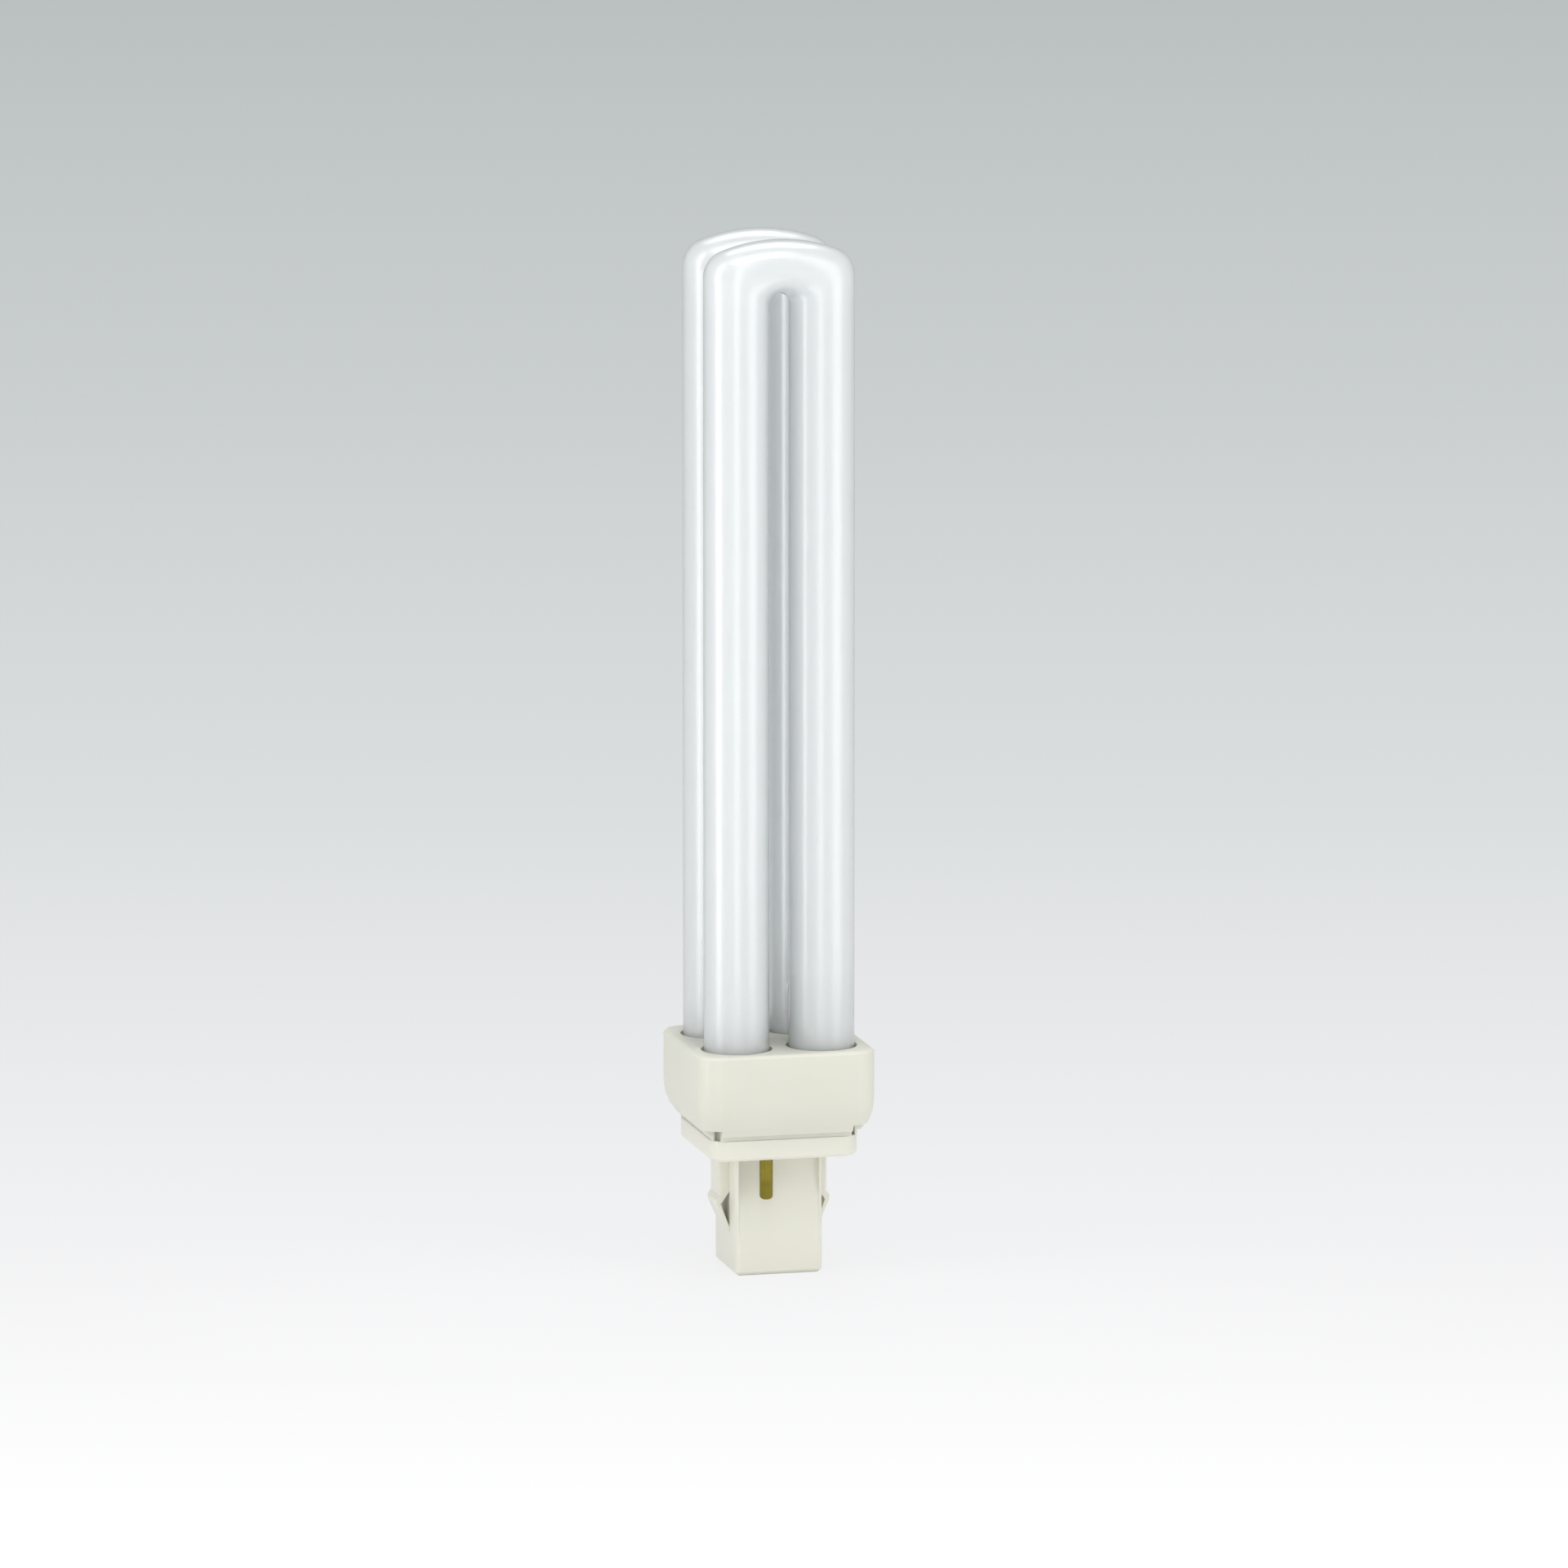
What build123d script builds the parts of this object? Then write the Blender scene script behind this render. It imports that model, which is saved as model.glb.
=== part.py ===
from build123d import *
import os
from math import asin, atan2, cos, degrees, radians, sin, sqrt

os.makedirs("parts", exist_ok=True)

# Plug-in fluorescent lamp with two U shaped tubes and a two pin cap, in millimetres.
# It stands on the flat end of its plug post: +Z runs up the glass, the front U is at -Y.
# The origin is the centre of the post's end.

# Glass
overall_height = 188.0
tube_diameter = 11.8
leg_gap = 3.9
bend_depth = 9.7
bend_crown_radius = 30.0
bend_corner_radius = 5.0
corner_steps = 5
crown_steps = 2
bridge_diameter = 6.8
bridge_rise = 8.0
bridge_bevel = 0.9
seal_width = 6.0
seal_thickness = 2.4
seal_corner_radius = 0.8
seal_length = 2.6

# Collar, the upper moulding
collar_margin = 2.65
collar_corner_radius = 4.2
collar_height = 15.0
collar_wall = 1.6
collar_top_wall = 2.0
collar_edge_bevel = 0.5
foot_inset = 2.3
roll_height = 5.8
roll_bands = 3
socket_clearance = 0.5
leg_clearance = 2.0
cement_depth = 6.0

# Groove between the mouldings, and the ledge that the snap hooks hold
groove_height = 0.9
groove_depth = 0.7
rim_wall = 0.5
corner_notch = 2.0
corner_notch_rise = 1.3
ledge_height = 4.7

# Base, the lower moulding
plate_inset = 0.4
plate_corner_radius = 3.6
plate_thickness = 3.7
plate_edge_bevel = 0.5
post_height = 22.2
post_depth = 16.0
post_corner_radius = 0.9
post_end_bevel = 0.7
post_wall = 1.3
post_floor = 1.3

# Recess under the plate, where each pin stands before the post
recess_height = 8.3
recess_depth = 1.2
recess_ramp = 1.0
recess_cheek = 0.6
recess_wall = 1.2

# Latch ears on the sides of the post
ear_width = 6.6
ear_tip_height = 12.4
ear_foot_height = 7.0
ear_reach = 2.45
ear_land = 0.8
ear_rail = 1.85
ear_wall = 0.8
ear_slot_foot = 8.2
ear_slot_top = 14.7

# Snap hooks that hold the base in the collar
hook_spacing = 14.0
hook_width = 4.0
hook_thickness = 1.0
hook_barb = 0.7
hook_head = 1.4
hook_clearance = 0.15

# Contact pins, 24 mm apart from centre to centre across the post
pin_diameter = 2.4
pin_clearance = 0.16
pin_offset = 3.3
pin_length = 7.5
pin_tip_bevel = 0.4
pin_neck_diameter = 1.9
pin_flare_height = 0.4
pin_tail_diameter = 1.6
pin_tail_length = 1.7

# Starter, capacitor and leads
starter_clearance = 1.3
starter_headroom = 4.4
starter_lead_spacing = 3.0
starter_lead_diameter = 0.7
starter_lead_length = 5.0
content_clearance = 0.6
capacitor_gap = 0.7
capacitor_thickness = 3.0
capacitor_width = 6.4
capacitor_height = 7.0
capacitor_edge_bevel = 0.7
lead_diameter = 0.6
lead_spacing = 3.0
lead_drop = 2.2
pin_lead_drop = 1.0

# How far one feature runs into the next where they join
join_depth = 0.5

# Places that follow from the sizes
tube_radius = tube_diameter / 2
leg_pitch = tube_diameter + leg_gap
leg_centre = leg_pitch / 2
slot_radius = leg_gap / 2
slot_centre = overall_height - bend_depth - slot_radius
collar_width = leg_pitch + tube_diameter + 2 * collar_margin
foot_width = collar_width - 2 * foot_inset
foot_corner_radius = collar_corner_radius - foot_inset
plate_width = foot_width - 2 * plate_inset
plate_top = post_height + plate_thickness
foot_bottom = plate_top + groove_height
roll_top = foot_bottom + roll_height
collar_top = foot_bottom + collar_height
collar_ceiling = collar_top - collar_top_wall
ledge_top = plate_top + ledge_height
leg_bottom = ledge_top + leg_clearance
seal_bottom = leg_bottom - seal_length
bridge_height = collar_top + bridge_rise
rim_width = foot_width - 2 * groove_depth
opening_width = rim_width - 2 * rim_wall
bend_side = leg_centre + tube_radius
crown_z = overall_height - slot_centre - bend_crown_radius
corner_x = bend_side - bend_corner_radius
corner_z = crown_z + sqrt((bend_crown_radius - bend_corner_radius) ** 2 - corner_x**2)
crown_share = bend_crown_radius / (bend_crown_radius - bend_corner_radius)
corner_start = degrees(atan2(corner_z, bend_side))
corner_end = degrees(atan2(crown_z + (corner_z - crown_z) * crown_share, corner_x * crown_share))
cavity_width = collar_width - 2 * collar_wall
cavity_corner_radius = collar_corner_radius - collar_wall
post_cavity_depth = post_depth - 2 * (recess_depth + recess_wall)
starter_diameter = post_cavity_depth - 2 * starter_clearance
post_cavity_width = starter_diameter + capacitor_gap + capacitor_thickness + 2 * content_clearance
post_width = post_cavity_width + 2 * post_wall
pin_radius = pin_diameter / 2
pin_y = opening_width / 2 - pin_clearance - pin_radius
pin_tip = post_height - pin_length
pin_tail_top = plate_top + pin_tail_length
starter_x = (starter_diameter - post_cavity_width) / 2 + content_clearance
starter_top = post_height - starter_headroom
starter_lead_top = starter_top + starter_lead_length
starter_lead_y = starter_lead_spacing / 2
capacitor_x = (post_cavity_width - capacitor_thickness) / 2 - content_clearance
capacitor_top = post_floor + capacitor_height


def arc_reach(angle, middle_x, middle_z, radius):
    """Distance from the middle of the slot to an arc of the bend's outline, at an angle from level."""
    along = middle_x * cos(radians(angle)) + middle_z * sin(radians(angle))
    off = middle_x * sin(radians(angle)) - middle_z * cos(radians(angle))
    return along + sqrt(radius**2 - off**2)


def bend_reach(angle):
    """Distance from the middle of the slot to the outside of the bend: side, corner and crown."""
    if angle <= corner_start:
        return bend_side / cos(radians(angle))
    if angle <= corner_end:
        return arc_reach(angle, corner_x, corner_z, bend_corner_radius)
    return arc_reach(angle, 0, crown_z, bend_crown_radius)


def lead(points, diameter):
    """A wire along a route of straight runs with mitred corners."""
    with BuildPart() as wire:
        with BuildLine() as route:
            Polyline(*points)
        with BuildSketch(Plane(origin=points[0], z_dir=route.line % 0)):
            Circle(diameter / 2)
        sweep(transition=Transition.RIGHT)
    return wire.part


# Discharge tube: four round legs, two blown bends, the bridge and the two pressed seals
with BuildPart() as discharge_tube:
    with BuildSketch(Plane.XY.offset(leg_bottom)):
        with GridLocations(leg_pitch, leg_pitch, 2, 2):
            Circle(tube_radius)
    extrude(amount=slot_centre - leg_bottom)
    corner_angles = [
        corner_start + (corner_end - corner_start) * step / corner_steps for step in range(corner_steps + 1)
    ]
    crown_angles = [corner_end + (90 - corner_end) * step / crown_steps for step in range(1, crown_steps)]
    half_angles = [0] + corner_angles + crown_angles
    for row in (-leg_centre, leg_centre):
        for angle in half_angles + [90] + [180 - angle for angle in reversed(half_angles)]:
            reach = bend_reach(min(angle, 180 - angle))
            out = Vector(cos(radians(angle)), 0, sin(radians(angle)))
            turn = Vector(-sin(radians(angle)), 0, cos(radians(angle)))
            middle = Vector(0, row, slot_centre) + out * ((slot_radius + reach) / 2)
            with BuildSketch(Plane(origin=middle, x_dir=out, z_dir=turn)):
                Ellipse((reach - slot_radius) / 2, tube_radius)
        loft(ruled=True)
    bridge_plane = Plane(origin=(leg_centre, 0, bridge_height), x_dir=(1, 0, 0), z_dir=(0, 1, 0))
    with BuildSketch(bridge_plane):
        Circle(bridge_diameter / 2)
    extrude(amount=leg_centre, both=True)
    bridge_seams = discharge_tube.edges().filter_by_position(
        Axis.Z, bridge_height - bridge_diameter, bridge_height + bridge_diameter
    )
    chamfer(bridge_seams, bridge_bevel)
    with BuildSketch(Plane.XY.offset(seal_bottom)):
        with Locations((-leg_centre, -leg_centre), (-leg_centre, leg_centre)):
            RectangleRounded(seal_width, seal_thickness, seal_corner_radius)
    extrude(amount=seal_length + join_depth)
discharge_tube.part.label = "discharge_tube"
export_step(discharge_tube.part, "parts/discharge_tube.step")

# Collar: a square moulding with its lower part rolled in, open below, with four round sockets on top
roll_radius = (roll_height**2 + foot_inset**2) / (2 * foot_inset)
roll_turn = asin(roll_height / roll_radius)
with BuildPart() as cap_collar:
    for band in range(roll_bands):
        low_turn = roll_turn * (roll_bands - band) / roll_bands
        high_turn = roll_turn * (roll_bands - band - 1) / roll_bands
        low_inset = roll_radius * (1 - cos(low_turn))
        band_inset = low_inset - roll_radius * (1 - cos(high_turn))
        band_height = roll_radius * (sin(low_turn) - sin(high_turn))
        band_width = collar_width - 2 * low_inset
        with BuildSketch(Plane.XY.offset(roll_top - roll_radius * sin(low_turn))):
            RectangleRounded(band_width, band_width, collar_corner_radius - low_inset)
        extrude(amount=band_height, taper=-degrees(atan2(band_inset, band_height)))
    with BuildSketch(Plane.XY.offset(roll_top)):
        RectangleRounded(collar_width, collar_width, collar_corner_radius)
    extrude(amount=collar_height - roll_height)
    chamfer(cap_collar.edges().group_by(Axis.Z)[-1], collar_edge_bevel)
    with BuildSketch(Plane.XY.offset(plate_top)):
        Rectangle(rim_width, rim_width)
    extrude(amount=groove_height + join_depth)
    with BuildSketch(Plane.XY.offset(plate_top)):
        Rectangle(opening_width, opening_width)
    extrude(amount=ledge_height, mode=Mode.SUBTRACT)
    with BuildSketch(Plane.XY.offset(ledge_top)):
        RectangleRounded(cavity_width, cavity_width, cavity_corner_radius)
    extrude(amount=collar_ceiling - ledge_top, mode=Mode.SUBTRACT)
    with BuildSketch(Plane.XY.offset(plate_top)):
        with GridLocations(foot_width, foot_width, 2, 2):
            Rectangle(2 * corner_notch, 2 * corner_notch)
    extrude(amount=groove_height + corner_notch_rise, mode=Mode.SUBTRACT)
    with BuildSketch(Plane.XY.offset(collar_ceiling)):
        with GridLocations(leg_pitch, leg_pitch, 2, 2):
            Circle(tube_radius + socket_clearance)
    extrude(amount=collar_top_wall, mode=Mode.SUBTRACT)
cap_collar.part.label = "cap_collar"
export_step(cap_collar.part, "parts/cap_collar.step")

# Base: plate, hollow post with recesses, latch ears and snap hooks
with BuildPart() as cap_base:
    with BuildSketch(Plane.XY.offset(post_height)):
        RectangleRounded(plate_width, plate_width, plate_corner_radius)
    extrude(amount=plate_thickness)
    chamfer(cap_base.edges().group_by(Axis.Z)[0], plate_edge_bevel)
    with BuildSketch(Plane.XY):
        RectangleRounded(post_width, post_depth, post_corner_radius)
    extrude(amount=post_height + join_depth)
    chamfer(cap_base.edges().group_by(Axis.Z)[0], post_end_bevel)
    for side in (-1, 1):
        with BuildSketch(Plane.YZ):
            with BuildLine():
                Polyline(
                    (side * (post_depth / 2 + recess_depth), post_height),
                    (side * (post_depth / 2 - recess_depth), post_height),
                    (side * (post_depth / 2 - recess_depth), post_height - recess_height + recess_ramp),
                    (side * post_depth / 2, post_height - recess_height),
                    (side * (post_depth / 2 + recess_depth), post_height - recess_height),
                    close=True,
                )
            make_face()
        extrude(amount=post_width / 2 - recess_cheek, both=True, mode=Mode.SUBTRACT)
    for side in (-1, 1):
        post_side = post_width / 2
        tip = post_side + ear_reach
        with BuildSketch(Plane.XZ):
            with BuildLine():
                Polyline(
                    (side * (post_side - join_depth), ear_foot_height),
                    (side * post_side, ear_foot_height),
                    (side * tip, ear_tip_height),
                    (side * tip, ear_tip_height + ear_land),
                    (side * (post_side + ear_rail), ear_tip_height + 2 * ear_land),
                    (side * (post_side + ear_rail), post_height),
                    (side * (post_side - join_depth), post_height),
                    close=True,
                )
            make_face()
        extrude(amount=ear_width / 2, both=True)
        with BuildSketch(Plane.XZ):
            with BuildLine():
                Polyline(
                    (side * post_side, ear_slot_foot),
                    (side * (tip - ear_wall), ear_tip_height),
                    (side * post_side, ear_slot_top),
                    close=True,
                )
            make_face()
        extrude(amount=ear_width / 2, both=True, mode=Mode.SUBTRACT)
        hook_outside = opening_width / 2 - hook_clearance
        hook_seat = ledge_top + hook_clearance
        with BuildSketch(Plane.XZ.offset(-hook_spacing / 2), Plane.XZ.offset(hook_spacing / 2)):
            with BuildLine():
                Polyline(
                    (side * (hook_outside - hook_thickness), plate_top - join_depth),
                    (side * hook_outside, plate_top - join_depth),
                    (side * hook_outside, hook_seat),
                    (side * (hook_outside + hook_barb), hook_seat),
                    (side * (hook_outside - hook_thickness / 2), hook_seat + hook_head),
                    (side * (hook_outside - hook_thickness), hook_seat + hook_head),
                    close=True,
                )
            make_face()
        extrude(amount=hook_width / 2, both=True)
    with BuildSketch(Plane.XY.offset(post_floor)):
        Rectangle(post_cavity_width, post_cavity_depth)
    extrude(amount=plate_top - post_floor, mode=Mode.SUBTRACT)
    with BuildSketch(Plane.XY.offset(post_height)):
        with Locations((-pin_offset, -pin_y), (pin_offset, pin_y)):
            Circle(pin_neck_diameter / 2)
    extrude(amount=plate_thickness, mode=Mode.SUBTRACT)
cap_base.part.label = "cap_base"
export_step(cap_base.part, "parts/cap_base.step")

# Tube cement: fills the collar round the legs, under its top wall
with BuildPart() as tube_cement:
    with BuildSketch(Plane.XY.offset(collar_ceiling - cement_depth)):
        RectangleRounded(cavity_width, cavity_width, cavity_corner_radius)
        with GridLocations(leg_pitch, leg_pitch, 2, 2):
            Circle(tube_radius, mode=Mode.SUBTRACT)
    extrude(amount=cement_depth)
tube_cement.part.label = "tube_cement"
export_step(tube_cement.part, "parts/tube_cement.step")

# Contact pins: blunt brass pins through the plate, one on each side of the post
for name, place in (("front_pin", -1), ("rear_pin", 1)):
    pin_plane = Plane(origin=(place * pin_offset, place * pin_y, 0), x_dir=(1, 0, 0), z_dir=(0, -1, 0))
    with BuildPart() as contact_pin:
        with BuildSketch(pin_plane):
            with BuildLine():
                Polyline(
                    (0, pin_tip),
                    (0, pin_tail_top),
                    (pin_tail_diameter / 2, pin_tail_top),
                    (pin_tail_diameter / 2, plate_top + pin_flare_height),
                    (pin_radius, plate_top + pin_flare_height),
                    (pin_radius, plate_top),
                    (pin_neck_diameter / 2, plate_top),
                    (pin_neck_diameter / 2, post_height),
                    (pin_radius, post_height),
                    (pin_radius, pin_tip + pin_tip_bevel),
                    (pin_radius - pin_tip_bevel, pin_tip),
                    close=True,
                )
            make_face()
        revolve(axis=Axis((place * pin_offset, place * pin_y, 0), (0, 0, 1)))
    contact_pin.part.label = name
    export_step(contact_pin.part, f"parts/{name}.step")

# Starter bottle: a sealed glass bottle with two stiff leads, stood in the post
with BuildPart() as starter_bottle:
    with BuildSketch(Plane.XY.offset(post_floor)):
        with Locations((starter_x, 0)):
            Circle(starter_diameter / 2)
    extrude(amount=starter_top - post_floor)
    with BuildSketch(Plane.XY.offset(starter_top - join_depth)):
        with Locations((starter_x, -starter_lead_y), (starter_x, starter_lead_y)):
            Circle(starter_lead_diameter / 2)
    extrude(amount=starter_lead_length + join_depth)
starter_bottle.part.label = "starter_bottle"
export_step(starter_bottle.part, "parts/starter_bottle.step")

# Suppressor capacitor: a dipped block beside the bottle, with two leads bent over to the starter's
capacitor_lead_top = starter_top + starter_lead_length / 2
capacitor_lead_end = starter_x + starter_lead_diameter / 2
with BuildPart() as capacitor:
    with BuildSketch(Plane.XY.offset(post_floor)):
        with Locations((capacitor_x, 0)):
            Rectangle(capacitor_thickness, capacitor_width)
    extrude(amount=capacitor_height)
    chamfer(capacitor.edges(), capacitor_edge_bevel)
    for lead_y in (-starter_lead_y, starter_lead_y):
        add(
            lead(
                [
                    (capacitor_x, lead_y, capacitor_top - join_depth),
                    (capacitor_x, lead_y, capacitor_lead_top),
                    (capacitor_lead_end, lead_y, capacitor_lead_top),
                ],
                lead_diameter,
            )
        )
capacitor.part.label = "suppressor_capacitor"
export_step(capacitor.part, "parts/suppressor_capacitor.step")

# Electrode leads: two from each pressed seal, one to the pin and one to the starter
for name, place in (("front", -1), ("rear", 1)):
    pin_wire_x = -leg_centre + lead_spacing / 2
    pin_wire = lead(
        [
            (pin_wire_x, place * leg_centre, seal_bottom),
            (pin_wire_x, place * leg_centre, seal_bottom - pin_lead_drop),
            (place * pin_offset, place * pin_y, seal_bottom - pin_lead_drop),
            (place * pin_offset, place * pin_y, pin_tail_top),
        ],
        lead_diameter,
    )
    pin_wire.label = f"{name}_pin_lead"
    export_step(pin_wire, f"parts/{name}_pin_lead.step")
    starter_wire_x = -leg_centre - lead_spacing / 2
    starter_wire = lead(
        [
            (starter_wire_x, place * leg_centre, seal_bottom),
            (starter_wire_x, place * leg_centre, seal_bottom - lead_drop),
            (starter_x, place * starter_lead_y, seal_bottom - lead_drop),
            (starter_x, place * starter_lead_y, starter_lead_top),
        ],
        lead_diameter,
    )
    starter_wire.label = f"{name}_starter_lead"
    export_step(starter_wire, f"parts/{name}_starter_lead.step")
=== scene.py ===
# %% [markdown]
# A plug-in fluorescent bulb, dressed for its portrait
#
# The bulb has two U shaped tubes of coated glass, one behind the other, a square cream cap in two
# mouldings, a hollow post that plugs into the lamp holder, and two brass contact pins. The packed model is
# loaded first, because every piece made here is placed by its numbers. It is in metres, it stands on the
# flat end of its post, and the front U is at -Y.

# %% Load the imported model
import math

import bmesh
import bpy
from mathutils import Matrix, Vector


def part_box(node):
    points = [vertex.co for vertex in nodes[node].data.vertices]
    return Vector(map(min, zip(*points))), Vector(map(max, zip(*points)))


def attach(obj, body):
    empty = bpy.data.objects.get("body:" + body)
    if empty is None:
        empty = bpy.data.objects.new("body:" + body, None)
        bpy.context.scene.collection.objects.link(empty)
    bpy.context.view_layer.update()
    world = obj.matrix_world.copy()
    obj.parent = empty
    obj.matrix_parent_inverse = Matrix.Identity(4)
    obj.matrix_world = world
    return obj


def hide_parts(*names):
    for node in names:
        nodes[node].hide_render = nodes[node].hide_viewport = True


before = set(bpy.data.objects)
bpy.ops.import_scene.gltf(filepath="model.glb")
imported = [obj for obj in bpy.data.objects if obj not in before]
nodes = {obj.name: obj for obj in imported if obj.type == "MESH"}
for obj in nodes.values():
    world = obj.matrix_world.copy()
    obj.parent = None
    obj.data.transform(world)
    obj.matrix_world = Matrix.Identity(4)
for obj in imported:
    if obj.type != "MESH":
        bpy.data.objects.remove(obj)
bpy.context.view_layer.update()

scene = bpy.context.scene
MM = 0.001

# %% [markdown]
# The camera comes first. The photograph was taken from a little to the left of the front and from
# ten degrees above, with a very long lens, because the upright edges stay upright. So the camera is
# put far away and its lens is worked out from the scale wanted in the picture. Three pixel values
# carry the photograph's framing: how many pixels one metre takes, and where the bulb's foot stands.

# %% Camera
PHOTO_SIZE = 1920
PIXELS_PER_METRE = 6820
FOOT_X = 941
FOOT_Y = 1553
CAMERA_TURN = math.radians(-14)
CAMERA_RISE = math.radians(10)
CAMERA_DISTANCE = 2.6

right = Vector((math.cos(CAMERA_TURN), math.sin(CAMERA_TURN), 0))
towards = Vector((math.sin(CAMERA_TURN), -math.cos(CAMERA_TURN), 0))
back = towards * math.cos(CAMERA_RISE)
back.z = math.sin(CAMERA_RISE)
middle = PHOTO_SIZE / 2
target = right * ((middle - FOOT_X) / PIXELS_PER_METRE)
target.z = (FOOT_Y - middle) / PIXELS_PER_METRE / math.cos(CAMERA_RISE)

camera_data = bpy.data.cameras.new("camera")
camera_data.sensor_width = 36
camera_data.lens = PIXELS_PER_METRE * CAMERA_DISTANCE / PHOTO_SIZE * camera_data.sensor_width
camera_data.clip_end = 50
camera = bpy.data.objects.new("camera", camera_data)
camera.location = target + back * CAMERA_DISTANCE
camera.rotation_euler = (target - camera.location).to_track_quat("-Z", "Y").to_euler()
scene.collection.objects.link(camera)
scene.camera = camera
scene.view_settings.view_transform = "Standard"
print("lens in mm:", round(camera_data.lens))

# %% [markdown]
# Node maths reads best as plain expressions. This small class wraps a socket, so that
# 1 - mask * 0.3 adds its Math nodes by itself, in a material and in a geometry tree alike. Every
# other node comes from its one method, which takes the node's type, the values or wires of its
# sockets by name or by number, and its settings, such as a ramp's stops, which are set before the
# sockets.

# %% Wires with operators
class Wire:
    """A node's output socket, or the whole tree where there is no socket yet."""

    def __init__(self, tree, end=None):
        self.tree = tree
        self.end = end

    def add(self, kind, sockets=None, **settings):
        made = self.tree.nodes.new(kind)
        if "stops" in settings:
            self.set_stops(made.color_ramp.elements, settings.pop("stops"))
        for name, value in settings.items():
            setattr(made, name, value)
        for name, value in (sockets or {}).items():
            for each in value if isinstance(value, list) else [value]:
                self.join(made.inputs[name], each)
        return {out.name: Wire(self.tree, out) for out in made.outputs if out.enabled}

    def join(self, socket, value):
        if isinstance(value, Wire):
            self.tree.links.new(value.end, socket)
        else:
            socket.default_value = value

    @staticmethod
    def set_stops(marks, stops):
        """Colours a ramp, whose own two marks at 0 and 1 take the first and the last stop."""
        for place, _ in stops[1:-1]:
            marks.new(place)
        for mark, (_, colour) in zip(marks, stops):
            mark.color = (*colour, 1)

    def math(self, operation, *values):
        return self.add("ShaderNodeMath", dict(enumerate(values)), operation=operation)["Value"]

    def __add__(self, other):
        return self.math("ADD", self, other)

    def __radd__(self, other):
        return self.math("ADD", other, self)

    def __sub__(self, other):
        return self.math("SUBTRACT", self, other)

    def __rsub__(self, other):
        return self.math("SUBTRACT", other, self)

    def __mul__(self, other):
        return self.math("MULTIPLY", self, other)

    def __rmul__(self, other):
        return self.math("MULTIPLY", other, self)

    def __truediv__(self, other):
        return self.math("DIVIDE", self, other)

    def __rtruediv__(self, other):
        return self.math("DIVIDE", other, self)

    def __pow__(self, other):
        return self.math("POWER", self, other)

    def __rpow__(self, other):
        return self.math("POWER", other, self)

    def __gt__(self, other):
        return self.math("GREATER_THAN", self, other)

    def __lt__(self, other):
        return self.math("LESS_THAN", self, other)


# %% [markdown]
# Every finish needs the same start: an empty material, the surface's own Object coordinates, and a
# soft cloud of noise. Object coordinates are used because each piece keeps its place in its mesh, so
# a pattern stays put on it. These helpers give that start and mix two colours by a mask.

# %% Helpers for finishes
def new_finish(name):
    material = bpy.data.materials.new(name)
    material.use_nodes = True
    material.node_tree.nodes.clear()
    make = Wire(material.node_tree)
    return material, make, make.add("ShaderNodeTexCoord")["Object"]


def noise(place, scale, detail=3.0, roughness=0.5):
    return place.add(
        "ShaderNodeTexNoise", {"Vector": place, "Scale": scale, "Detail": detail, "Roughness": roughness}
    )["Fac"]


def blend(mask, low, high):
    return mask.add("ShaderNodeMix", {0: mask, 6: (*low, 1), 7: (*high, 1)}, data_type="RGBA")["Result"]


def show(shader):
    shader.add("ShaderNodeOutputMaterial", {"Surface": shader})


# %% [markdown]
# The tube is clear glass with a white powder inside it. So the colour is a matt pale grey with a
# touch of blue, and the gloss is a smooth layer on top. The powder isn't quite even, which a large
# soft cloud in the colour shows, and drawn glass has faint long waves, which a stretched noise puts
# into the normal. The coat is the glass itself. Near a tube's edges one looks along its clear wall,
# which shows as a darker rim, so there a dim reflection is mixed in by the angle of view. A U is
# hollow and passes light from side to side, for which its scattering is wider than the tube. The
# short bridge has none, because light that goes in there would end inside the legs.

# %% Finish of the coated glass
def coated_glass(name, through):
    material, make, place = new_finish(name)
    cloud = noise(place, 45, 3)
    stretched = make.add("ShaderNodeMapping", {"Vector": place, "Scale": (1, 1, 0.12)})["Vector"]
    waves = noise(stretched, 160, 2)
    relief = make.add("ShaderNodeBump", {"Height": waves, "Strength": 0.04, "Distance": 0.0002})["Normal"]
    coated = make.add(
        "ShaderNodeBsdfPrincipled",
        {
            "Base Color": blend(cloud, (0.665, 0.697, 0.708), (0.70, 0.728, 0.738)),
            "Roughness": cloud * 0.08 + 0.20,
            "IOR": 1.5,
            "Subsurface Weight": through,
            "Subsurface Radius": (1.0, 1.0, 1.0),
            "Subsurface Scale": 0.035,
            "Coat Weight": 1.0,
            "Coat Roughness": 0.3,
            "Coat IOR": 1.9,
            "Normal": relief,
        },
    )["BSDF"]
    wall = make.add("ShaderNodeBsdfGlossy", {"Color": (0.36, 0.39, 0.40, 1), "Roughness": 0.25})["BSDF"]
    facing = make.add("ShaderNodeLayerWeight", {"Blend": 0.5})["Facing"]
    show(make.add("ShaderNodeMixShader", {0: facing ** 2.0 * 0.38, 1: coated, 2: wall})["Shader"])
    return material


glass = coated_glass("coated_glass", 1.0)
bridge_glass = coated_glass("bridge_glass", 0.0)
print("finishes:", glass.name, bridge_glass.name)
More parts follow.
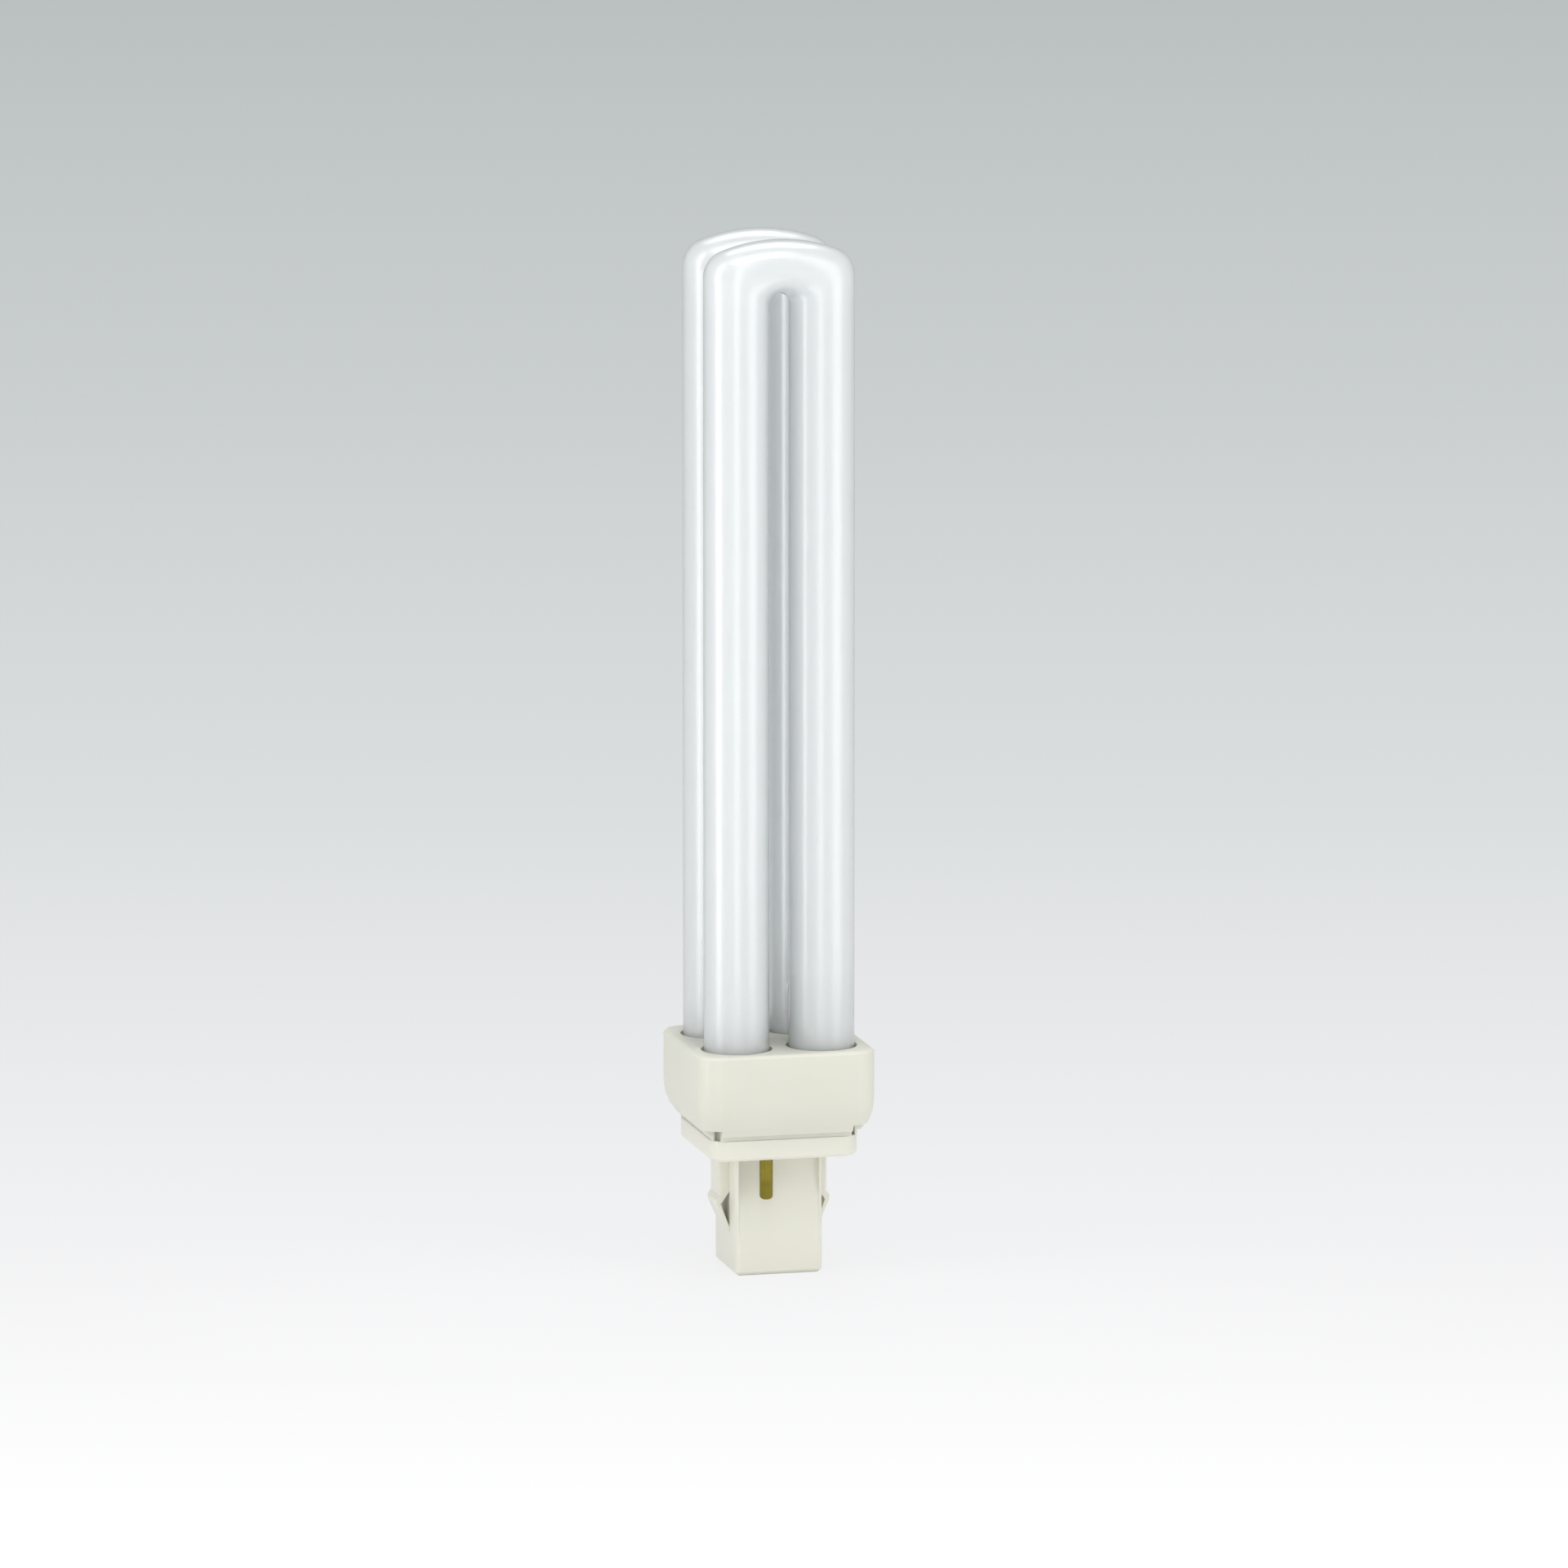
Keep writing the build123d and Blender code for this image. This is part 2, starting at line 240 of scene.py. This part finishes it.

# %% [markdown]
# The cap is moulded in a warm white plastic with a satin skin. A close look at such a moulding shows three
# things: a very fine grain, slow changes of shade where the melt flowed, and a gloss that isn't the same
# all over. The grain goes into a bump, the others into colour and roughness. The base is a moulding of its
# own, and its colour is painted a shade lighter than the collar's, to make up for the shade that falls on
# the lower parts of the cap.

# %% Finish of the cream plastic
def cream_plastic(name, low, high):
    material, make, place = new_finish(name)
    flow = noise(place, 70, 3)
    grain = noise(place, 2600, 2)
    rub = noise(place, 420, 5, 0.65)
    relief = make.add("ShaderNodeBump", {"Height": grain, "Strength": 0.15, "Distance": 0.00004})["Normal"]
    show(make.add(
        "ShaderNodeBsdfPrincipled",
        {
            "Base Color": blend(flow, low, high),
            "Roughness": rub * 0.16 + 0.30,
            "IOR": 1.48,
            "Subsurface Weight": 0.2,
            "Subsurface Radius": (1.0, 0.9, 0.7),
            "Subsurface Scale": 0.0015,
            "Normal": relief,
        },
    )["BSDF"])
    return material


collar_plastic = cream_plastic("collar_plastic", (0.728, 0.716, 0.624), (0.773, 0.756, 0.661))
# The base's two colours are painted lighter than the collar's, to make up for the shade on the lower parts
# of the cap.
base_plastic_painted_lighter = cream_plastic("base_plastic_painted_lighter", (0.795, 0.776, 0.681), (0.840, 0.817, 0.719))
print("finishes:", collar_plastic.name, base_plastic_painted_lighter.name)

# %% [markdown]
# The pins are bare brass, rubbed by the holder's springs. Brass is a metal, so its colour is in its
# reflection, and what makes it look used is the tarnish: darker, browner and duller patches.

# %% Finish of the brass
def pin_brass():
    material, make, place = new_finish("pin_brass")
    tarnish = noise(place, 260, 3, 0.5)
    drawn = make.add("ShaderNodeMapping", {"Vector": place, "Scale": (1, 1, 0.05)})["Vector"]
    lines = noise(drawn, 6000, 2)
    relief = make.add("ShaderNodeBump", {"Height": lines, "Strength": 0.2, "Distance": 0.00002})["Normal"]
    show(make.add(
        "ShaderNodeBsdfPrincipled",
        {
            "Base Color": blend(tarnish, (0.15, 0.12, 0.015), (0.36, 0.30, 0.055)),
            "Roughness": tarnish * 0.25 + 0.14,
            "Metallic": 1.0,
            "Normal": relief,
        },
    )["BSDF"])
    return material


brass = pin_brass()
print("finish:", brass.name)

# %% [markdown]
# Inside the cap sit the cement that holds the legs, the starter bottle, the capacitor and the wires.
# They hardly show, but each still gets its own finish, so that a cut-open view reads well. They only
# differ in two colours, the size of the cloud and the gloss, so one recipe makes them all.

# %% Finishes of the inner pieces
def inner_finish(name, low, high, scale, roughness, metallic=0.0):
    material, make, place = new_finish(name)
    cloud = noise(place, scale, 4)
    show(make.add(
        "ShaderNodeBsdfPrincipled",
        {
            "Base Color": blend(cloud, low, high),
            "Roughness": cloud * 0.15 + roughness,
            "Metallic": metallic,
        },
    )["BSDF"])
    return material


cement = inner_finish("white_cement", (0.62, 0.61, 0.56), (0.72, 0.71, 0.66), 900, 0.75)
wire = inner_finish("tinned_wire", (0.60, 0.60, 0.58), (0.75, 0.75, 0.73), 900, 0.25, 1.0)
bottle = inner_finish("clear_glass", (0.50, 0.53, 0.52), (0.60, 0.63, 0.62), 200, 0.05)
resin = inner_finish("dipped_resin", (0.40, 0.15, 0.03), (0.50, 0.22, 0.05), 400, 0.2)
finishes = {
    "discharge_tube": glass,
    "cap_collar": collar_plastic,
    "cap_base": base_plastic_painted_lighter,
    "front_pin": brass,
    "rear_pin": brass,
    "tube_cement": cement,
    "starter_bottle": bottle,
    "suppressor_capacitor": resin,
}
for name, node in nodes.items():
    node.data.materials.clear()
    node.data.materials.append(finishes.get(name, wire))
print("finishes set on", len(nodes), "nodes")

# %% [markdown]
# The discharge tube is the main piece, and its shape follows a rule, so Geometry Nodes make it. A
# flat grid is bent into a U: its rows run from one closed leg end, up the leg, over the blown bend
# and down the other leg, and its columns run round the glass. The bend isn't half a ring. Seen from
# the front, its outside is a side, a tight corner and a nearly flat crown, which three formulas
# give as the distance from the middle of the slot at each angle. The sizes are those of the packed
# model, and the numbers of rows and columns say how fine each mesh is.

# %% Sizes of the glass
BEND_ROWS = 96
DOME_ROWS = 10
TUBE_COLUMNS = 96
FILLET_ROWS = 14
PIPE_COLUMNS = 72
SEAL_COLUMNS = 48
glass_low, glass_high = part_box("discharge_tube")
leg_sizes = {"Tube radius": 5.9 * MM, "Slot radius": 1.95 * MM}
tube_sizes = leg_sizes | {
    "Slot centre": 176.35 * MM,
    "Leg bottom": 32.6 * MM,
    "Leg dome": 3.0 * MM,
    "Crown radius": 30.0 * MM,
    "Corner radius": 5.0 * MM,
    "Top": glass_high[2],
    "Seal bottom": glass_low[2],
    "Seal radius": 3.0 * MM,
    "Seal flatness": 0.4,
    "Seal join": 1.5 * MM,
}
pipe_sizes = leg_sizes | {
    "Bridge radius": 3.4 * MM,
    "Bridge height": 49.8 * MM,
    "Bridge fillet": 0.5 * MM,
    "Bridge end": 1.0 * MM,
}
print("glass from", round(glass_low[2] / MM, 2), "to", round(glass_high[2] / MM, 2), "mm")

# %% [markdown]
# A geometry tree is easiest to read when its inputs have names, so each size becomes an input of
# that name. The helper below makes the tree, sets the sizes on the modifier by the sockets' own
# identifiers, lets Blender work the shape out once, and keeps the result as a plain mesh without
# any modifier, which is what the export needs. Points nearer to each other than the weld distance
# become one, which closes a seam.

# %% Helpers for geometry trees
WELD = 0.002 * MM


def new_geometry_tree(name, inputs):
    tree = bpy.data.node_groups.new(name, "GeometryNodeTree")
    for label in inputs:
        tree.interface.new_socket(name=label, in_out="INPUT", socket_type="NodeSocketFloat")
    tree.interface.new_socket(name="Geometry", in_out="OUTPUT", socket_type="NodeSocketGeometry")
    make = Wire(tree)
    return make, make.add("NodeGroupInput")


def bake(name, make, shape, material, inputs):
    smooth = make.add("GeometryNodeSetShadeSmooth", {"Geometry": shape, "Shade Smooth": True})["Geometry"]
    realized = make.add("GeometryNodeRealizeInstances", {"Geometry": smooth})["Geometry"]
    painted = make.add("GeometryNodeSetMaterial", {"Geometry": realized, "Material": material})["Geometry"]
    make.add("NodeGroupOutput", {"Geometry": painted})
    piece = bpy.data.objects.new(name, bpy.data.meshes.new(name))
    scene.collection.objects.link(piece)
    modifier = piece.modifiers.new("shape", "NODES")
    modifier.node_group = make.tree
    for item in make.tree.interface.items_tree:
        if item.in_out == "INPUT":
            modifier[item.identifier] = inputs[item.name]
    graph = bpy.context.evaluated_depsgraph_get()
    mesh = bpy.data.meshes.new_from_object(piece.evaluated_get(graph), depsgraph=graph)
    piece.modifiers.clear()
    piece.data = mesh
    mesh.name = name
    print(name, "has", len(mesh.polygons), "faces")
    return piece


def grid(make, rows, columns):
    """A grid with one step to a row, as (mesh, row number, share of the way round)."""
    mesh = make.add(
        "GeometryNodeMeshGrid",
        {"Size X": rows - 1.0, "Size Y": 1.0, "Vertices X": rows, "Vertices Y": columns + 1},
    )["Mesh"]
    place = make.add("GeometryNodeInputPosition")["Position"]
    parts = make.add("ShaderNodeSeparateXYZ", {"Vector": place})
    return mesh, parts["X"] + (rows - 1) / 2, parts["Y"] + 0.5


def vector(make, x=0.0, y=0.0, z=0.0):
    return make.add("ShaderNodeCombineXYZ", {"X": x, "Y": y, "Z": z})["Vector"]


def shaped(make, mesh, x, y, z):
    place = vector(make, x, y, z)
    moved = make.add("GeometryNodeSetPosition", {"Geometry": mesh, "Position": place})["Geometry"]
    return make.add("GeometryNodeMergeByDistance", {"Geometry": moved, "Distance": WELD})["Geometry"]


# %% [markdown]
# The rule of the bend, written once for nodes. From the middle of the slot, the straight side lies
# at side / cos(angle). A round part of the outline lies where a ray meets its circle. The corner's
# circle touches the side and the crown from inside, which fixes its middle, and the two angles at
# which one part hands over to the next follow from that.

# %% The bend's outline
def arc_reach(angle, across, up, radius):
    along = across * angle.math("COSINE", angle) + up * angle.math("SINE", angle)
    off = across * angle.math("SINE", angle) - up * angle.math("COSINE", angle)
    return along + angle.math("SQRT", radius * radius - off * off)


def bend_reach(angle, size):
    side = size["Slot radius"] + size["Tube radius"] * 2
    crown_up = size["Top"] - size["Slot centre"] - size["Crown radius"]
    across = side - size["Corner radius"]
    shift = size["Crown radius"] - size["Corner radius"]
    up_square = shift * shift - across * across
    up = crown_up + up_square.math("SQRT", up_square)
    stretch = size["Crown radius"] / shift
    first = up.math("ARCTAN2", up, side)
    second = up.math("ARCTAN2", crown_up + (up - crown_up) * stretch, across * stretch)
    in_side = angle < first
    in_crown = angle > second
    straight = side / angle.math("COSINE", angle)
    corner = arc_reach(angle, across, up, size["Corner radius"])
    crown = arc_reach(angle, across * 0, crown_up, size["Crown radius"])
    return in_side * straight + in_crown * crown + (1 - in_side - in_crown) * corner


# %% [markdown]
# One U. A row's distance from the crown row says what it is: up to half the bend's rows it lies in
# the bend, the next row is the leg's lower end, and the last rows draw in to a closed dome. So the
# long straight legs cost only one ring of faces each. The ring in each row is an ellipse, as wide as
# the room between the slot and the outline, and as deep as the tube.

# %% Nodes of one U
def u_tube(make, size):
    half_rows = BEND_ROWS // 2
    rows = 2 * (half_rows + 1 + DOME_ROWS) + 1
    mesh, row, share = grid(make, rows, TUBE_COLUMNS)
    from_crown = row - (rows - 1) / 2
    steps = from_crown.math("ABSOLUTE", from_crown)
    side_sign = from_crown.math("SIGN", from_crown)
    bend_share = steps.math("MINIMUM", steps / half_rows, 1.0)
    angle = (1 - bend_share) * (math.pi / 2)
    dome = steps.math("MAXIMUM", (steps - half_rows - 1) / DOME_ROWS, 0.0) * (math.pi / 2)
    narrow = dome.math("COSINE", dome)
    sink = dome.math("SINE", dome) * size["Leg dome"]
    straight = size["Slot centre"] - size["Leg bottom"] - size["Leg dome"]
    drop = (steps > half_rows + 0.5) * straight + sink
    turn = share * (2 * math.pi)
    half_width = (bend_reach(angle, size) - size["Slot radius"]) / 2
    distance = size["Slot radius"] + half_width + half_width * narrow * turn.math("COSINE", turn)
    x = side_sign * distance * angle.math("COSINE", angle)
    y = turn.math("SINE", turn) * narrow * size["Tube radius"]
    z = size["Slot centre"] + distance * angle.math("SINE", angle) - drop
    return shaped(make, mesh, x, y, z)


# %% [markdown]
# The bridge is a short pipe blown between the two right-hand legs, low down, and its ends spread out
# into the legs in a soft fillet. A grid makes it as well: its rows run from one leg to the other,
# and near each leg the ring grows along a quarter circle until it lies on the leg's own surface. The
# last row at each end draws in to one point inside the leg, so that the pipe is a closed form.

# %% Nodes of the bridge
def bridge(make, size):
    rows = 2 * (FILLET_ROWS + 1) + 1
    mesh, row, share = grid(make, rows, PIPE_COLUMNS)
    from_middle = row - (rows - 1) / 2
    steps = from_middle.math("ABSOLUTE", from_middle)
    side_sign = from_middle.math("SIGN", from_middle)
    turn = share * (2 * math.pi)
    rise = steps.math("MINIMUM", steps / FILLET_ROWS, 1.0) * (math.pi / 2)
    closing = steps > FILLET_ROWS + 0.5
    open_radius = size["Bridge radius"] + size["Bridge fillet"] * (1 - rise.math("COSINE", rise))
    radius = open_radius * (1 - closing)
    across = radius * turn.math("COSINE", turn)
    leg_centre = size["Slot radius"] + size["Tube radius"]
    leg_inside = size["Tube radius"] * size["Tube radius"] - across * across
    leg_face = leg_centre - leg_inside.math("SQRT", leg_inside)
    short_of_leg = size["Bridge fillet"] * (1 - rise.math("SINE", rise))
    y = side_sign * (leg_face - short_of_leg + closing * size["Bridge end"])
    z = size["Bridge height"] + radius * turn.math("SINE", turn)
    return shaped(make, mesh, leg_centre + across, y, z)


# %% [markdown]
# Under each left-hand leg the glass is pinched flat round the electrode's wires. It stays inside the
# cap, so a flattened round bar does. The two U tubes and the two seals repeat at the same two
# places, so both are put there as instances, and then they become one mesh. The bridge is a mesh of
# its own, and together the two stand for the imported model's tube.

# %% The discharge tube
def pinched_seal(make, size, leg_centre):
    bar = make.add(
        "GeometryNodeMeshCylinder", {"Vertices": SEAL_COLUMNS, "Radius": size["Seal radius"], "Depth": 1.0}
    )["Mesh"]
    depth = size["Leg bottom"] - size["Seal bottom"] + size["Seal join"]
    middle_height = size["Seal bottom"] + depth / 2
    return make.add(
        "GeometryNodeTransform",
        {
            "Geometry": bar,
            "Translation": vector(make, x=leg_centre * -1, z=middle_height),
            "Scale": vector(make, 1.0, size["Seal flatness"], depth),
        },
    )["Geometry"]


def blown_tubes():
    make, size = new_geometry_tree("blown_tubes", tube_sizes)
    leg_centre = size["Slot radius"] + size["Tube radius"]
    parts = [u_tube(make, size), pinched_seal(make, size, leg_centre)]
    one_row = make.add("GeometryNodeJoinGeometry", {"Geometry": parts})["Geometry"]
    places = make.add(
        "GeometryNodeMeshLine",
        {
            "Count": 2,
            "Start Location": vector(make, y=leg_centre * -1),
            "Offset": vector(make, y=leg_centre * 2),
        },
    )["Mesh"]
    rows = make.add("GeometryNodeInstanceOnPoints", {"Points": places, "Instance": one_row})["Instances"]
    return bake("blown_tubes", make, rows, glass, tube_sizes)


def bridge_pipe():
    make, size = new_geometry_tree("bridge_pipe", pipe_sizes)
    return bake("bridge_pipe", make, bridge(make, size), bridge_glass, pipe_sizes)


for piece in (blown_tubes(), bridge_pipe()):
    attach(piece, "root")
    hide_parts("discharge_tube")

# %% [markdown]
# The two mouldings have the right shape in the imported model, but its edges are knife sharp, and
# moulded plastic never is: the small round on an edge is what catches the light. So each moulding is
# copied, its loose triangles are merged and flat areas are made single faces, and a narrow Bevel
# modifier rounds every edge that turns by more than twenty degrees.

# %% Softened mouldings
EDGE_ROUND = 0.18 * MM
SHARP_ANGLE = math.radians(20)
FLAT_ANGLE = math.radians(0.4)


def softened(node_name, piece_name, reshape, material):
    mesh = nodes[node_name].data.copy()
    mesh.name = piece_name
    shape = bmesh.new()
    shape.from_mesh(mesh)
    bmesh.ops.remove_doubles(shape, verts=shape.verts, dist=WELD)
    reshape(shape)
    bmesh.ops.dissolve_limit(shape, angle_limit=FLAT_ANGLE, verts=shape.verts, edges=shape.edges)
    for face in shape.faces:
        face.smooth = True
    shape.to_mesh(mesh)
    shape.free()
    mesh.materials.clear()
    mesh.materials.append(material)
    piece = bpy.data.objects.new(piece_name, mesh)
    scene.collection.objects.link(piece)
    rounding = piece.modifiers.new("rounding", "BEVEL")
    rounding.width = EDGE_ROUND
    rounding.segments = 3
    rounding.limit_method = "ANGLE"
    rounding.angle_limit = SHARP_ANGLE
    rounding.harden_normals = True
    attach(piece, "root")
    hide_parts(node_name)
    print(piece_name, "has", len(mesh.polygons), "faces before its edges are rounded")


# %% [markdown]
# Two places want more than a round edge. The collar's foot has a small pocket at each corner, and a
# thin web closes the back of it, so that no dark hole shows. The web's plan is a band across the
# corner. Its heights start at the top of the plate, on which the collar stands.

# %% The collar, with webs behind its pockets
PLATE_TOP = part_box("cap_collar")[0][2]
WEB_RISE = 2.4 * MM
WEB_OUTSIDE = 12.95 * MM
WEB_INSIDE = 12.4 * MM
WEB_SIDE = 10.9 * MM


def close_pockets(shape):
    outer_line = [(WEB_OUTSIDE, WEB_SIDE), (WEB_SIDE, WEB_OUTSIDE)]
    inner_line = [(WEB_SIDE, WEB_INSIDE), (WEB_INSIDE, WEB_SIDE)]
    for side_x in (-1, 1):
        for side_y in (-1, 1):
            lower, upper = [
                [shape.verts.new((side_x * x, side_y * y, height)) for x, y in outer_line + inner_line]
                for height in (PLATE_TOP, PLATE_TOP + WEB_RISE)
            ]
            walls = zip(lower, lower[1:] + lower[:1], upper[1:] + upper[:1], upper)
            faces = [shape.faces.new(ring) for ring in (lower, upper, *walls)]
            bmesh.ops.recalc_face_normals(shape, faces=faces)


softened("cap_collar", "collar_moulding", close_pockets, collar_plastic)

# %% [markdown]
# The other place is the recess before each pin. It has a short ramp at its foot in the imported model,
# but in the photograph it runs out gently on the post's face. So the points of the ramp are found by
# their place, and each is lifted by how deep it lies in the post.

# %% The base, with eased recesses
POST_FACE = 8.0 * MM
RECESS_FOOT = 13.9 * MM
RECESS_DEPTH = 1.2 * MM
RECESS_RAMP = 1.0 * MM
RECESS_HALF_WIDTH = 7.5 * MM
EASED_SLOPE = 3.4
MARGIN = 0.01 * MM


def ease_recess(shape):
    for point in shape.verts:
        depth = POST_FACE - abs(point.co.y)
        rise = point.co.z - RECESS_FOOT
        on_ramp = -MARGIN < depth < RECESS_DEPTH + MARGIN and -MARGIN < rise < RECESS_RAMP + MARGIN
        if on_ramp and abs(point.co.x) < RECESS_HALF_WIDTH:
            point.co.z = RECESS_FOOT + depth * EASED_SLOPE


softened("cap_base", "base_moulding", ease_recess, base_plastic_painted_lighter)

# %% [markdown]
# A contact pin is a turned piece, so it is made the way a lathe makes it: a list of radii and
# heights, turned round the pin's own axis. Its blunt tip gets a real round here. A thin neck holds
# it in the plate, a flare sits on the plate, and the thin tail above takes the lead.

# %% Contact pins
PLATE_BOTTOM = 22.2 * MM
NECK_RADIUS = 0.95 * MM
TAIL_RADIUS = 0.8 * MM
FLARE_HEIGHT = 0.4 * MM
TIP_ROUND = 0.9 * MM
TIP_FLATNESS = 0.75
TIP_STEPS = 8
TURNED_STEPS = 64
CREASE_ANGLE = math.radians(35)


def pin_profile(radius, foot, top):
    """The pin's half outline, as pairs of a radius and a height."""
    profile = [(0.0, foot)]
    for step in range(TIP_STEPS + 1):
        angle = math.pi / 2 * step / TIP_STEPS
        inset = TIP_ROUND * (1 - math.sin(angle))
        profile.append((radius - inset, foot + TIP_ROUND * TIP_FLATNESS * (1 - math.cos(angle))))
    flare_top = PLATE_TOP + FLARE_HEIGHT
    profile += [(radius, PLATE_BOTTOM), (NECK_RADIUS, PLATE_BOTTOM), (NECK_RADIUS, PLATE_TOP)]
    profile += [(radius, PLATE_TOP), (radius, flare_top), (TAIL_RADIUS, flare_top)]
    return profile + [(TAIL_RADIUS, top), (0.0, top)]


def turned_pin(node_name, piece_name):
    low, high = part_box(node_name)
    centre = ((low[0] + high[0]) / 2, (low[1] + high[1]) / 2)
    profile = pin_profile((high[0] - low[0]) / 2, low[2], high[2])
    shape = bmesh.new()
    points = [shape.verts.new((centre[0] + across, centre[1], height)) for across, height in profile]
    edges = [shape.edges.new(pair) for pair in zip(points, points[1:])]
    bmesh.ops.spin(
        shape,
        geom=points + edges,
        cent=(*centre, 0),
        axis=(0, 0, 1),
        angle=2 * math.pi,
        steps=TURNED_STEPS,
        use_merge=True,
    )
    bmesh.ops.remove_doubles(shape, verts=shape.verts, dist=WELD)
    bmesh.ops.recalc_face_normals(shape, faces=shape.faces)
    mesh = bpy.data.meshes.new(piece_name)
    shape.to_mesh(mesh)
    shape.free()
    mesh.materials.append(brass)
    mesh.shade_smooth()
    mesh.set_sharp_from_angle(angle=CREASE_ANGLE)
    piece = bpy.data.objects.new(piece_name, mesh)
    scene.collection.objects.link(piece)
    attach(piece, "root")
    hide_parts(node_name)
    print(piece_name, "has", len(mesh.polygons), "faces")


turned_pin("front_pin", "front_contact_pin")
turned_pin("rear_pin", "rear_contact_pin")

# %% [markdown]
# The bulb stands in front of a plain pale paper, which is nearly white at its foot and falls off to
# a cool grey far behind it. One large floor does both, because at this low angle it fills the
# picture. Its shade depends on the depth along the line of sight. Where the camera, a reflection or
# clear glass sees the floor, most of that shade is shown as it is, and the rest is lit paper, which
# keeps the bulb's soft shadow. Farther from the bulb than its shadow reaches, the shade alone is
# shown, or the lamps that stand near would leave arcs of light on the paper.

# %% Finish of the paper
SHADE_START = -0.3
SHADE_LENGTH = 2.2
SHOWN_NEAR_BULB = 0.88
SHADOW_REACH = 0.05
SHADOW_FADE = 0.08
PAPER_SHADES = (
    (0.0, (1.06, 1.06, 1.06)),
    (0.13, (0.905, 0.905, 0.915)),
    (0.26, (0.785, 0.795, 0.81)),
    (0.36, (0.70, 0.727, 0.735)),
    (0.62, (0.59, 0.62, 0.625)),
    (1.0, (0.495, 0.525, 0.53)),
)


def pale_paper():
    material, make, place = new_finish("pale_paper")
    sight = tuple(-towards)
    depth = make.add("ShaderNodeVectorMath", {0: place, 1: sight}, operation="DOT_PRODUCT")["Value"]
    along = (depth - SHADE_START) / SHADE_LENGTH
    shade = make.add("ShaderNodeValToRGB", {"Fac": along}, stops=PAPER_SHADES)["Color"]
    lit = make.add("ShaderNodeBsdfDiffuse", {"Color": (0.92, 0.925, 0.93, 1)})["BSDF"]
    shown = make.add("ShaderNodeEmission", {"Color": shade, "Strength": 1.0})["Emission"]
    path = make.add("ShaderNodeLightPath")
    seen = path["Is Camera Ray"] + path["Is Glossy Ray"] + path["Is Transmission Ray"]
    away = make.add("ShaderNodeVectorMath", {0: place}, operation="LENGTH")["Value"]
    beyond = away.math("MAXIMUM", (away - SHADOW_REACH) / SHADOW_FADE, 0.0)
    share = away.math("MINIMUM", beyond, 1.0) * (1 - SHOWN_NEAR_BULB) + SHOWN_NEAR_BULB
    show(make.add("ShaderNodeMixShader", {0: seen * share, 1: lit, 2: shown})["Shader"])
    return material


paper = pale_paper()
print("finish:", paper.name)

# %% [markdown]
# The floor is one large square.

# %% Floor
FLOOR_HALF = 4.0
floor_mesh = bpy.data.meshes.new("floor")
corners = [(x * FLOOR_HALF, y * FLOOR_HALF, 0) for x, y in ((-1, -1), (1, -1), (1, 1), (-1, 1))]
floor_mesh.from_pydata(corners, [], [(0, 1, 2, 3)])
floor_mesh.materials.append(paper)
floor = bpy.data.objects.new("floor", floor_mesh)
scene.collection.objects.link(floor)
print("floor side in metres:", 2 * FLOOR_HALF)

# %% [markdown]
# The light is plain and soft. The world gives a part of it from everywhere, and soft boxes give the
# rest. On upright glass an upright box becomes a long bright line, so the places of three boxes are
# read from the photograph's lines: one on the camera's side, one to the right and one on the left.
# A line seen from ten degrees above needs a box that reaches down to the floor and stands close by,
# or the glass would mirror the floor below it. So these three stand near. A wide box above and a
# smaller one behind light the bends. All five are hidden from the camera alone.

# %% World and lamps
NEAR_DISTANCE = 0.15
NEAR_HEIGHT = 0.206
NEAR_LENGTH = 0.40
world = bpy.data.worlds.new("studio")
scene.world = world
world.use_nodes = True
background = world.node_tree.nodes["Background"]
background.inputs["Color"].default_value = (0.80, 0.83, 0.84, 1)
background.inputs["Strength"].default_value = 0.62


def soft_box(name, turn, distance, height, aim_height, size, brightness):
    """A box of that size in metres, turned round the bulb from the camera's side by so many degrees."""
    angle = CAMERA_TURN + math.radians(turn)
    data = bpy.data.lights.new(name, "AREA")
    data.shape = "RECTANGLE"
    data.size, data.size_y = size
    data.energy = brightness * math.pi * size[0] * size[1]
    lamp = bpy.data.objects.new(name, data)
    lamp.location = (math.sin(angle) * distance, -math.cos(angle) * distance, height)
    lamp.rotation_euler = (Vector((0, 0, aim_height)) - lamp.location).to_track_quat("-Z", "Y").to_euler()
    lamp.visible_camera = False
    scene.collection.objects.link(lamp)
    print(name, "at", [round(value, 2) for value in lamp.location], "power", round(data.energy, 2))


for name, turn, width, brightness in (
    ("front_box", 0, 0.044, 1.3),
    ("right_box", 55, 0.08, 1.2),
    ("left_box", -61, 0.048, 2.4),
):
    soft_box(name, turn, NEAR_DISTANCE, NEAR_HEIGHT, NEAR_HEIGHT, (width, NEAR_LENGTH), brightness)
soft_box("top_box", 8, 0.40, 1.45, 0.10, (0.90, 0.60), 2.5)
soft_box("back_box", 176, 0.45, 0.85, 0.15, (0.50, 0.35), 2.2)
